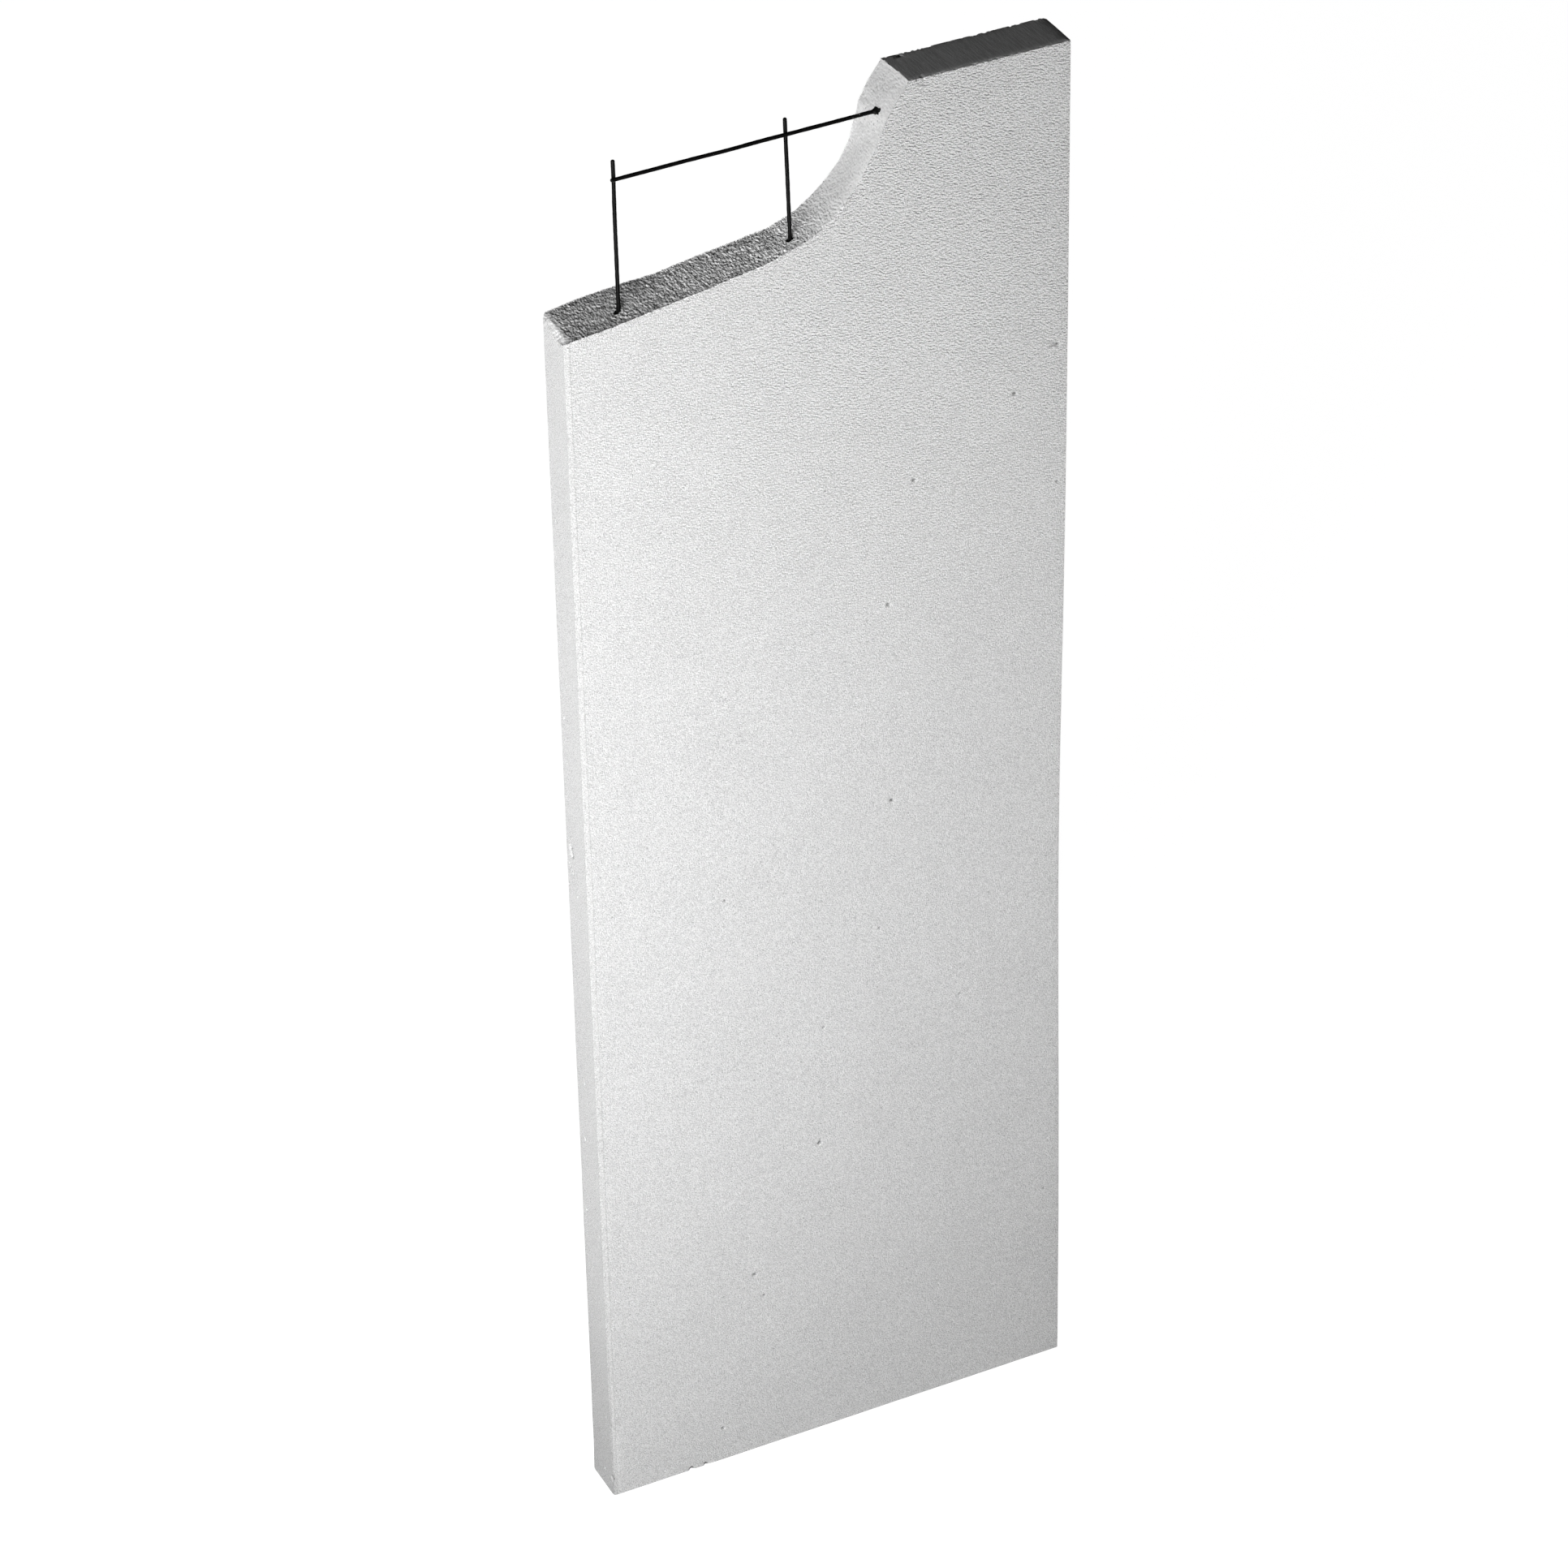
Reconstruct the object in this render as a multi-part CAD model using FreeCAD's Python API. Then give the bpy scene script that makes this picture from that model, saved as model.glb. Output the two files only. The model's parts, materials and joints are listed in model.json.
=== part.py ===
"""A reinforced aerated-concrete wall panel with one top corner cut away to show its reinforcing mat.

The panel stands upright. +X runs along its width, +Y from its front face to its back face, and +Z up.
The origin is at the middle of the face that it stands on. Everything is in millimetres.
"""

import FreeCAD, Part
import math
import os

# ---- Panel ----------------------------------------------------------------------------------------------------
panel_width = 600.0
panel_height = 1800.0
panel_thickness = 60.0
left_chamfer = 5.0  # on both arrises of the left long edge
back_right_chamfer = 4.0  # on the back arris of the right long edge; its front arris is sharp

# ---- Cut-away through the top left corner -----------------------------------------------------------------------
cut_depth_at_edge = 206.0  # below the top, where the cut leaves the left long edge
cut_width_at_top = 404.0  # from the left long edge, where the cut leaves the top
ramp_angle = 7.0  # degrees from level, on the long shallow stretch
steep_angle = 62.3  # degrees from level, on the short steep stretch
cut_bend_radius = 174.0  # of the arc that joins the two stretches

# ---- Reinforcing mat: one layer of coated wires, welded where they cross ----------------------------------------
bar_diameter = 4.5  # over the coating
bar_end_rounding = 1.2
long_bar_count = 3
long_bar_pitch = 200.0
first_long_bar_offset = 73.0  # from the left long edge
long_bar_depth = 22.3  # from the front face to the bars' axes
long_bar_cover = 18.0  # from each end of the panel to the bars' ends
cross_bar_count = 6
cross_bar_cover = 38.0  # from each end of the panel to the nearest cross bar's axis
cross_bar_overhang = 5.5  # past the axes of the outer long bars
weld_set_down = 0.5  # how far two bars are pressed into each other at a weld

# ---- Places that follow from the sizes above --------------------------------------------------------------------
left_x = -panel_width / 2
front_y = -panel_thickness / 2
long_bar_y = front_y + long_bar_depth
cross_bar_y = long_bar_y - (bar_diameter - weld_set_down)  # the cross bars lie in front
long_bar_xs = [left_x + first_long_bar_offset + i * long_bar_pitch for i in range(long_bar_count)]
cross_bar_pitch = (panel_height - 2 * cross_bar_cover) / (cross_bar_count - 1)
cross_bar_zs = [panel_height - cross_bar_cover - i * cross_bar_pitch for i in range(cross_bar_count)]


def slab():
    """The whole panel before it is cut away, with its chamfered long arrises."""
    right_x = left_x + panel_width
    back_y = front_y + panel_thickness
    outline = [
        (left_x + left_chamfer, front_y),
        (right_x, front_y),
        (right_x, back_y - back_right_chamfer),
        (right_x - back_right_chamfer, back_y),
        (left_x + left_chamfer, back_y),
        (left_x, back_y - left_chamfer),
        (left_x, front_y + left_chamfer),
    ]
    points = [FreeCAD.Vector(x, y, 0) for x, y in outline]
    face = Part.Face(Part.makePolygon(points + points[:1]))
    return face.extrude(FreeCAD.Vector(0, 0, panel_height))


def cut_away():
    """The removed corner: a shallow ramp, an arc and a steep stretch, straight through the thickness."""
    margin = panel_thickness / 2  # the tool runs this far past the panel on every side
    ramp = FreeCAD.Vector(math.cos(math.radians(ramp_angle)), 0, math.sin(math.radians(ramp_angle)))
    steep = FreeCAD.Vector(math.cos(math.radians(steep_angle)), 0, math.sin(math.radians(steep_angle)))
    edge_point = FreeCAD.Vector(left_x, front_y - margin, panel_height - cut_depth_at_edge)
    top_point = FreeCAD.Vector(left_x + cut_width_at_top, front_y - margin, panel_height)

    # The two stretches meet at a corner, which the arc then rounds off.
    across = top_point - edge_point
    along_ramp = (across.x * steep.z - across.z * steep.x) / (ramp.x * steep.z - ramp.z * steep.x)
    corner = edge_point + ramp * along_ramp
    half_turn = math.radians(steep_angle - ramp_angle) / 2
    tangent_length = cut_bend_radius * math.tan(half_turn)
    arc_start = corner - ramp * tangent_length
    arc_end = corner + steep * tangent_length
    inward = (steep - ramp).normalize()
    arc_middle = corner + inward * (cut_bend_radius / math.cos(half_turn) - cut_bend_radius)

    outside_edge = edge_point - ramp * margin
    outside_top = top_point + steep * margin
    far_corner = FreeCAD.Vector(outside_edge.x, edge_point.y, outside_top.z)
    wire = Part.Wire([
        Part.LineSegment(outside_edge, arc_start).toShape(),
        Part.Arc(arc_start, arc_middle, arc_end).toShape(),
        Part.LineSegment(arc_end, outside_top).toShape(),
        Part.LineSegment(outside_top, far_corner).toShape(),
        Part.LineSegment(far_corner, outside_edge).toShape(),
    ])
    return Part.Face(wire).extrude(FreeCAD.Vector(0, panel_thickness + 2 * margin, 0))


def bar(start, direction, length):
    """One straight wire with softly rounded ends."""
    wire = Part.makeCylinder(bar_diameter / 2, length, start, direction)
    rims = [edge for edge in wire.Edges if edge.isClosed() and isinstance(edge.Curve, Part.Circle)]
    return wire.makeFillet(bar_end_rounding, rims)


def long_bars():
    """The upright wires, which run nearly the panel's whole height."""
    length = panel_height - 2 * long_bar_cover
    up = FreeCAD.Vector(0, 0, 1)
    return [bar(FreeCAD.Vector(x, long_bar_y, long_bar_cover), up, length) for x in long_bar_xs]


def cross_bars(uprights):
    """The level wires, each pressed onto every upright at its weld."""
    start_x = long_bar_xs[0] - cross_bar_overhang
    length = long_bar_xs[-1] + cross_bar_overhang - start_x
    right = FreeCAD.Vector(1, 0, 0)
    bars = []
    for z in cross_bar_zs:
        level = bar(FreeCAD.Vector(start_x, cross_bar_y, z), right, length)
        for upright in uprights:
            level = level.cut(upright)
        bars.append(level)
    return bars


def panel_body(wires):
    """The aerated concrete, cast round every wire and then cut away at its corner."""
    body = slab().cut(cut_away())
    for wire in wires:
        body = body.cut(wire)
    return body


def solid_of(shape):
    """The one solid that a piece is made of."""
    if len(shape.Solids) != 1:
        raise ValueError(f"expected one solid, found {len(shape.Solids)}")
    return shape.Solids[0]


def main():
    os.makedirs("parts", exist_ok=True)
    uprights = [solid_of(shape) for shape in long_bars()]
    levels = [solid_of(shape) for shape in cross_bars(uprights)]
    pieces = {"panel_body": solid_of(panel_body(uprights + levels))}
    pieces.update({f"long_bar_{i}": shape for i, shape in enumerate(uprights, start=1)})
    pieces.update({f"cross_bar_{i}": shape for i, shape in enumerate(levels, start=1)})
    for name, shape in pieces.items():
        shape.exportStep(f"parts/{name}.step")
        box = shape.BoundBox
        print(f"{name}: {shape.Volume / 1000:.1f} cm3, {box.XLength:.1f} x {box.YLength:.1f} x {box.ZLength:.1f}")


main()
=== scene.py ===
# %% [markdown]
# # A reinforced aerated-concrete wall panel, cut away at one corner
#
# The real panel is a slab of aerated concrete: a light, fine-pored stone that is foamed, wire-cut to size
# while it is still soft, and steam-hardened. A mat of coated wires is cast inside it. One top corner has been
# carved away so that the wires show. This notebook builds its looks around a measured frame that is loaded
# first. The frame's bodies are fixed: they say where everything is, in metres, with +Z up and the panel's
# front face looking along -Y.

# %% Load the frame
import json
import math

import bmesh
import bpy
from mathutils import Matrix, Vector, noise

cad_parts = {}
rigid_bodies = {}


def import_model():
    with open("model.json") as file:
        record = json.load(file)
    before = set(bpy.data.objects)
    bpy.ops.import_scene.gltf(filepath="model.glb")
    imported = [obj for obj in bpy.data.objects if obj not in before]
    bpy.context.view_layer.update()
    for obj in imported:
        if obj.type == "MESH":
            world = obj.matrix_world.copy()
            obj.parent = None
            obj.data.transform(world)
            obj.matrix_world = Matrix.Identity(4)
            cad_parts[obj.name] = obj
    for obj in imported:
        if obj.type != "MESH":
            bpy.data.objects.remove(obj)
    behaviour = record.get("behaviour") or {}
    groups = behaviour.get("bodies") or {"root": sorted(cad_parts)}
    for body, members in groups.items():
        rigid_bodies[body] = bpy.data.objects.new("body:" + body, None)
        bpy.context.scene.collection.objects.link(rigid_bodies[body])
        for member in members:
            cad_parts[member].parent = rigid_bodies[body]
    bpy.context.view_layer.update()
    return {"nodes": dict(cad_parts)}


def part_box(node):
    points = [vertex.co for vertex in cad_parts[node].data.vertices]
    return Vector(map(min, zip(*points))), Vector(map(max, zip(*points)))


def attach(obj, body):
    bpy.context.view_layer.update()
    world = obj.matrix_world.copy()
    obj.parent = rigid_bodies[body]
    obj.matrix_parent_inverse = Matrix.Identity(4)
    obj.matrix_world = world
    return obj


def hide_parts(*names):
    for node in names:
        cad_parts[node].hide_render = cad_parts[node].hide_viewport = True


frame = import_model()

MM = 0.001
panel_low, panel_high = (Vector(corner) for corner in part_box("panel_body"))
print("panel, in mm:", [round(side / MM, 1) for side in panel_high - panel_low])

# %% [markdown]
# ## The camera
#
# The panel is seen from its left and from above, through a long lens, which keeps its long edges nearly
# parallel. The camera is placed by its direction, distance and roll about the point that it looks at, because
# those are the things that somebody with a camera chooses.

# %% Camera
VIEW_AZIMUTH, VIEW_ELEVATION, VIEW_ROLL = math.radians(-25.56), math.radians(34.67), math.radians(-1.19)
VIEW_DISTANCE = 7.036
LENS_LENGTH = 142.98  # in millimetres, on Blender's usual 36 mm sensor
LOOK_AT = Vector((-0.0303, 0.0241, 0.9125))
towards_camera = Vector((
    math.sin(VIEW_AZIMUTH) * math.cos(VIEW_ELEVATION),
    -math.cos(VIEW_AZIMUTH) * math.cos(VIEW_ELEVATION),
    math.sin(VIEW_ELEVATION),
))
camera = bpy.data.objects.new("camera", bpy.data.cameras.new("camera"))
camera.data.lens = LENS_LENGTH
camera.data.clip_end = 100
turn = (-towards_camera).to_track_quat("-Z", "Y").to_matrix() @ Matrix.Rotation(VIEW_ROLL, 3, "Z")
camera.matrix_world = Matrix.Translation(LOOK_AT + towards_camera * VIEW_DISTANCE) @ turn.to_4x4()
bpy.context.collection.objects.link(camera)
bpy.context.scene.camera = camera
print("camera at", [round(value, 3) for value in camera.matrix_world.translation])


# %% [markdown]
# ## Two helpers for node trees
#
# Materials and Geometry Nodes are both made of nodes whose sockets are either set to a value or linked to
# another node. `add` does both at once, so that a tree reads like a recipe. `give` sets a Geometry Nodes
# modifier's inputs by their names on the tree's interface.

# %% Node helpers
def add(tree, kind, inputs=(), **settings):
    """Adds a node, changes its settings, then sets or links its inputs."""
    node = tree.nodes.new(kind)
    for name, value in settings.items():
        setattr(node, name, value)
    for key, value in dict(inputs).items():
        if isinstance(value, bpy.types.NodeSocket):
            tree.links.new(value, node.inputs[key])
        else:
            node.inputs[key].default_value = value
    return node


def maths(tree, operation, *values):
    """One Math node, as a socket."""
    return add(tree, "ShaderNodeMath", dict(enumerate(values)), operation=operation).outputs[0]


def fade(tree, value, start, end, low=0.0, high=1.0):
    """A smooth change from low to high while value goes from start to end."""
    inputs = {"Value": value, "From Min": start, "From Max": end, "To Min": low, "To Max": high}
    return add(tree, "ShaderNodeMapRange", inputs, interpolation_type="SMOOTHSTEP").outputs["Result"]


def geometry_tree(name, inputs):
    """An empty Geometry Nodes tree with a mesh going in and out, and the named inputs."""
    tree = bpy.data.node_groups.new(name, "GeometryNodeTree")
    tree.interface.new_socket("Geometry", in_out="INPUT", socket_type="NodeSocketGeometry")
    for label, kind in inputs.items():
        tree.interface.new_socket(label, in_out="INPUT", socket_type=kind)
    tree.interface.new_socket("Geometry", in_out="OUTPUT", socket_type="NodeSocketGeometry")
    return tree, tree.nodes.new("NodeGroupInput").outputs


def give(modifier, values):
    """Sets a Geometry Nodes modifier's inputs, each by its socket's identifier."""
    for item in modifier.node_group.interface.items_tree:
        if item.item_type == "SOCKET" and item.in_out == "INPUT" and item.name in values:
            modifier[item.identifier] = values[item.name]


def settle(piece):
    """Replaces a piece's mesh with the result of its modifiers, and removes them."""
    depsgraph = bpy.context.evaluated_depsgraph_get()
    result = bpy.data.meshes.new_from_object(piece.evaluated_get(depsgraph), depsgraph=depsgraph)
    piece.modifiers.clear()
    piece.data = result
    return len(result.polygons)


def object_from(name, bm):
    """A new object at the origin that holds the mesh."""
    mesh = bpy.data.meshes.new(name)
    bm.to_mesh(mesh)
    bm.free()
    piece = bpy.data.objects.new(name, mesh)
    bpy.context.collection.objects.link(piece)
    return piece


# %% [markdown]
# ## The slab
#
# A real panel starts as a plain sawn slab. Here it is the outside of a box that is divided by three sets of
# grid lines. Chamfers cost nothing extra: each long edge's corner line is pushed inwards, so the first grid
# cells either side of it become the chamfer. Most of a flat face needs only large cells. Where something
# small happens, such as a blow hole or a worn arris, the cells are divided again.

# %% The slab's grid
LEFT_CHAMFER, BACK_RIGHT_CHAMFER = 5 * MM, 4 * MM
CHAMFER_AT_FOOT, CHAMFER_GROWS_OVER = 0.4, 120 * MM  # the left chamfer starts narrower at the floor
SHARP_ARRIS = 0.6 * MM  # how much is worn off an arris that isn't chamfered
RIGHT_SIDE_BOW, BOW_HEIGHT, BOW_REACH = 5 * MM, 750 * MM, 350 * MM  # the right long edge is a little hollow
ON_SURFACE = 1e-6  # how near a vertex is to a side that it lies on
WIRE_CUT, LONG_EDGE, SAWN_END, CARVED = range(4)  # the slab's four finishes, as material numbers


def grid_lines(low, high, first, last, step):
    """Grid lines from low to high: one narrow cell at each end and even ones between them."""
    inner = high - last - (low + first)
    count = round(inner / step)
    return [low] + [low + first + inner * i / count for i in range(count + 1)] + [high]


CELL_ACROSS, CELL_THROUGH, CELL_UP, END_CELL = 12 * MM, 5 * MM, 10 * MM, 4 * MM
xs = grid_lines(panel_low.x, panel_high.x, LEFT_CHAMFER, BACK_RIGHT_CHAMFER, CELL_ACROSS)
ys = grid_lines(panel_low.y, panel_high.y, LEFT_CHAMFER, LEFT_CHAMFER, CELL_THROUGH)
zs = grid_lines(panel_low.z, panel_high.z, END_CELL, END_CELL, CELL_UP)


def box_on_grid(bm):
    """The outside of a box with a vertex at every grid crossing, and a finish number on every face."""
    verts = {}

    def vert(i, j, k):
        if (i, j, k) not in verts:
            verts[i, j, k] = bm.verts.new((xs[i], ys[j], zs[k]))
        return verts[i, j, k]

    def wall(corners, finish):
        bm.faces.new([vert(*corner) for corner in corners]).material_index = finish

    last_x, last_y, last_z = len(xs) - 1, len(ys) - 1, len(zs) - 1
    for k in range(last_z):
        for i in range(last_x):
            wall([(i, 0, k), (i + 1, 0, k), (i + 1, 0, k + 1), (i, 0, k + 1)], WIRE_CUT)
            wall([(i, last_y, k), (i, last_y, k + 1), (i + 1, last_y, k + 1), (i + 1, last_y, k)], WIRE_CUT)
        for j in range(last_y):
            wall([(0, j, k), (0, j, k + 1), (0, j + 1, k + 1), (0, j + 1, k)], LONG_EDGE)
            wall([(last_x, j, k), (last_x, j + 1, k), (last_x, j + 1, k + 1), (last_x, j, k + 1)], LONG_EDGE)
    for i in range(last_x):
        for j in range(last_y):
            wall([(i, j, 0), (i, j + 1, 0), (i + 1, j + 1, 0), (i + 1, j, 0)], SAWN_END)
            wall([(i, j, last_z), (i + 1, j, last_z), (i + 1, j + 1, last_z), (i, j + 1, last_z)], SAWN_END)


def push_in_corners(bm):
    """Chamfers the long edges, and takes the edge off the others."""
    middle = (panel_low + panel_high) / 2
    for vertex in bm.verts:
        x, y, z = vertex.co
        on_side = min(x - panel_low.x, panel_high.x - x) < ON_SURFACE
        on_face = min(y - panel_low.y, panel_high.y - y) < ON_SURFACE
        on_end = min(z - panel_low.z, panel_high.z - z) < ON_SURFACE
        inwards = [math.copysign(1, middle[axis] - vertex.co[axis]) for axis in range(3)]
        if on_side and on_face:
            left, back = x < middle.x, y > middle.y
            chamfer = LEFT_CHAMFER if left else BACK_RIGHT_CHAMFER if back else SHARP_ARRIS
            if left:
                chamfer *= min(CHAMFER_AT_FOOT + (1 - CHAMFER_AT_FOOT) * z / CHAMFER_GROWS_OVER, 1)
            vertex.co.x += inwards[0] * chamfer / 2
            vertex.co.y += inwards[1] * chamfer / 2
        if on_end and (on_side or on_face):
            vertex.co.z += inwards[2] * SHARP_ARRIS
        hollow_side = RIGHT_SIDE_BOW * math.exp(-((z - BOW_HEIGHT) / BOW_REACH) ** 2)
        vertex.co.x -= hollow_side * ((x - panel_low.x) / (panel_high.x - panel_low.x)) ** 6


bm = bmesh.new()
box_on_grid(bm)
push_in_corners(bm)
print("plain slab:", len(bm.faces), "faces")

# %% [markdown]
# ## The profile of the cut-away
#
# One top corner is carved off, straight through the thickness: a shallow ramp from the long edge, a bend, and
# a steep stretch up to the top. A point of that profile is found from the distance along it, in three cases.
# Its upward normal comes with it, because the carved surface will wander to either side of the line.

# %% Profile
CUT_DEPTH_AT_EDGE, CUT_WIDTH_AT_TOP = 206 * MM, 404 * MM
RAMP_ANGLE, STEEP_ANGLE = math.radians(7), math.radians(62.3)
BEND_RADIUS = 174 * MM

ramp = Vector((math.cos(RAMP_ANGLE), 0, math.sin(RAMP_ANGLE)))
steep = Vector((math.cos(STEEP_ANGLE), 0, math.sin(STEEP_ANGLE)))
edge_point = Vector((panel_low.x, 0, panel_high.z - CUT_DEPTH_AT_EDGE))
top_point = Vector((panel_low.x + CUT_WIDTH_AT_TOP, 0, panel_high.z))
across = top_point - edge_point
corner = edge_point + ramp * ((across.x * steep.z - across.z * steep.x) / (ramp.x * steep.z - ramp.z * steep.x))
tangent = BEND_RADIUS * math.tan((STEEP_ANGLE - RAMP_ANGLE) / 2)
ramp_length = (corner - edge_point).length - tangent
bend_length = BEND_RADIUS * (STEEP_ANGLE - RAMP_ANGLE)
steep_length = (top_point - corner).length - tangent
cut_length = ramp_length + bend_length + steep_length


def on_profile(distance):
    """The point of the cut's profile at a distance along it, and its upward normal there."""
    bent = min(max(distance - ramp_length, 0), bend_length)
    angle = RAMP_ANGLE + bent / BEND_RADIUS
    normal = Vector((-math.sin(angle), 0, math.cos(angle)))
    if distance < ramp_length:
        return edge_point + ramp * distance, normal
    if distance > ramp_length + bend_length:
        return corner + steep * (tangent + distance - ramp_length - bend_length), normal
    start_normal = Vector((-ramp.z, 0, ramp.x))
    return edge_point + ramp * ramp_length + (start_normal - normal) * BEND_RADIUS, normal


PROFILE_POINTS = 120
profile = [on_profile(cut_length * i / PROFILE_POINTS)[0] for i in range(PROFILE_POINTS + 1)]
lengths = [round(part / MM) for part in (ramp_length, bend_length, steep_length)]
print("ramp, bend and steep stretch, in mm:", lengths)

# %% [markdown]
# ## Where the slab has small features
#
# Aerated concrete has blow holes, where a large bubble was cut through, and chips where it was knocked. Each
# is a point with a radius and a depth. The first few are torn open beside the upright wires, where they leave
# the stone. Only the cells near a feature, near the carved outline and near the worn top arris are made
# small.

# %% Hollows and small cells
# All in mm. A wire's foot has x, y, z, a radius and a depth. A hole has its place on its face and a size, and
# how wide and how deep it is for that size differs from face to face.
wire_feet = [(-230.6, -8.6, 1603.5, 4.4, 2.6), (-226.5, -9, 1604, 3.0, 2.4),
             (-27.6, -9.0, 1634, 4.0, 2.6), (-24, -9.4, 1636, 2.8, 2.4)]
front_holes = [(234, 1381, 2.2), (110, 1305, 2.3), (77, 1152, 2.4), (287, 1429, 2.2), (288, 1252, 1.8),
               (79, 888, 2.6), (61, 715, 1.8), (165, 586, 1.6), (-133, 818, 2.2), (-12, 598, 2.0),
               (278, 256, 1.6), (-19, 432, 2.8), (-107, 267, 2.4), (-96, 232, 1.8), (-154, 49, 2.4),
               (-197, 2, 3.4), (-178, 2, 2.8)]
edge_holes = [(13, 919, 5.5), (10, 911, 5.2), (19, 896, 2.2), (16, 892, 2.2), (13, 888.5, 2.2),
              (10, 885.5, 2.2), (23, 864, 2.8), (-1, 860, 2.6), (14, 1348, 2.6), (16, 1091, 2.4),
              (22, 222, 2.2), (6, 257, 2.4), (-17, 113, 2.8), (-7, 27, 3.2), (-8, 642, 2.4), (3, 596, 2.6),
              (9, 512, 3.0), (-12, 470, 2.2), (14, 405, 2.6), (-19, 388, 2.2), (2, 330, 2.2), (-27, 25, 4.4)]
back_holes = [(-240, 1310, 2.4), (-60, 1490, 2.2), (150, 1220, 2.6), (-190, 760, 2.0), (95, 640, 2.4),
              (220, 330, 2.2), (-80, 240, 2.6), (10, 980, 1.8), (260, 1650, 2.2)]
right_holes = [(9, 1420, 2.6), (-14, 1010, 2.4), (17, 655, 2.8), (-3, 298, 2.4)]
low_mm, high_mm = panel_low / MM, panel_high / MM
hollows = [(Vector((x, y, z)) * MM, wide * MM, deep * MM) for x, y, z, wide, deep in wire_feet]
hollows += [(Vector((x, low_mm.y, z)) * MM, 1.3 * size * MM, size * MM) for x, z, size in front_holes]
hollows += [(Vector((low_mm.x, y, z)) * MM, size * MM, 0.7 * size * MM) for y, z, size in edge_holes]
hollows += [(Vector((x, high_mm.y, z)) * MM, size * MM, 0.9 * size * MM) for x, z, size in back_holes]
hollows += [(Vector((high_mm.x, y, z)) * MM, size * MM, 0.7 * size * MM) for y, z, size in right_holes]
NEAR_PROFILE, NEAR_HOLLOW = 9 * MM, 5 * MM


def refine(bm, cuts, wanted):
    """Divides the faces that are wanted, judged by their centre."""
    edges = {edge for face in bm.faces if wanted(face.calc_center_median()) for edge in face.edges}
    bmesh.ops.subdivide_edges(bm, edges=list(edges), cuts=cuts, use_grid_fill=True)


def near_profile(centre):
    """Whether a cell lies beside the carved outline."""
    if centre.x > top_point.x + CELL_ACROSS or centre.z < edge_point.z - CELL_ACROSS:
        return False
    flat = Vector((centre.x, 0, centre.z))
    return any((flat - point).length < NEAR_PROFILE for point in profile)


def near_hollow(centre):
    """Whether a cell touches a hollow; those beside the wires lie on the carved face, which is fine already."""
    holes = hollows[len(wire_feet):]
    return any((centre - spot).length < radius + NEAR_HOLLOW for spot, radius, depth in holes)


def near_top_arris(centre):
    """Whether a cell lies beside the long arrises of the top."""
    beside_face = min(centre.y - panel_low.y, panel_high.y - centre.y) < 7 * MM
    return centre.z > panel_high.z - 8 * MM and centre.x > top_point.x and beside_face


refine(bm, 1, lambda centre: centre.x < panel_low.x + CELL_ACROSS)
refine(bm, 5, near_profile)
refine(bm, 5, near_top_arris)
refine(bm, 6, near_hollow)
print("slab with small cells:", len(bm.faces), "faces;", len(hollows), "hollows")
slab = object_from("panel_body_skin", bm)

# %% [markdown]
# ## Carving the corner off
#
# Somebody carved the real corner with a saw and a rasp, so its surface wanders. The cutter is a closed block
# whose underside is a fine grid that follows the profile and wanders with two layers of noise. A Boolean
# modifier takes it off the slab, which leaves the fine grid behind as the carved face, with its own finish
# number.

# %% Cutter
CARVED_CELL = 1.1 * MM
CUTTER_MARGIN = 30 * MM
PAST_ENDS, PAST_FACES = 3 * MM, 2 * MM  # how far the fine grid goes on past the slab
SWELL_HEIGHT, SWELL_LENGTH = 0.6 * MM, 40 * MM
MARK_HEIGHT, MARK_LENGTH = 0.4 * MM, 12 * MM
END_ROUNDING, END_REACH = 6 * MM, 6.5 * MM  # the ramp's outer end is knocked off, raggedly
LEFT_STANDING, STANDING_REACH = 2.5 * MM, 24 * MM  # nobody rasps close to a wire
WIRE_BELOW_TOP, WIRE_FORWARD = 41 * MM, 12 * MM


def smooth(value):
    """0 below 0, 1 above 1, and an S-curve between them."""
    value = min(max(value, 0), 1)
    return value * value * (3 - 2 * value)


# How far the carving strays outwards from the profile, in mm, at distances along it: at the front face and at
# the back.
FRONT_DRIFT = [(0, -3), (70, -3.3), (140, -2.3), (210, 0.3), (260, 2.4), (298, -0.5), (335, 0), (400, 1),
               (450, 1.2), (495, -1.6)]
BACK_DRIFT = [(0, 4), (50, 6), (90, 4.3), (135, 1.5), (180, 2.9), (240, 3.5), (276, -0.9), (314, -4.1),
              (375, -5.8), (395, -5.2), (420, -0.5), (444, 4.6), (457, 4.4), (495, 0.9)]


def drift(table, distance):
    """Reads a drift table between its entries, in metres."""
    spot = min(max(distance / MM, table[0][0]), table[-1][0])
    for (near, low), (far, high) in zip(table, table[1:]):
        if spot <= far:
            return (low + (high - low) * smooth((spot - near) / (far - near))) * MM


def wander(distance, y):
    """How far the carved face stands off its profile."""
    place = Vector((distance, y, 0))
    swells = SWELL_HEIGHT * noise.noise(place / SWELL_LENGTH)
    marks = MARK_HEIGHT * noise.noise(place / MARK_LENGTH + Vector((7, 3, 1)))
    back = smooth((y - panel_low.y) / (panel_high.y - panel_low.y))
    strays = drift(FRONT_DRIFT, distance) * (1 - back) + drift(BACK_DRIFT, distance) * back
    reach = END_REACH + 3 * MM * noise.noise(Vector((y / (9 * MM), 2, 5))) - 0.05 * y
    rounded_off = END_ROUNDING * max(0, 1 - distance / reach) ** 2 * (1 - (abs(y) / (36 * MM)) ** 2)
    from_wire = Vector((distance - (cut_length - WIRE_BELOW_TOP), y + WIRE_FORWARD)).length
    left_standing = LEFT_STANDING * math.exp(-(from_wire / STANDING_REACH) ** 2)
    return swells + marks + strays + left_standing - rounded_off


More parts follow.
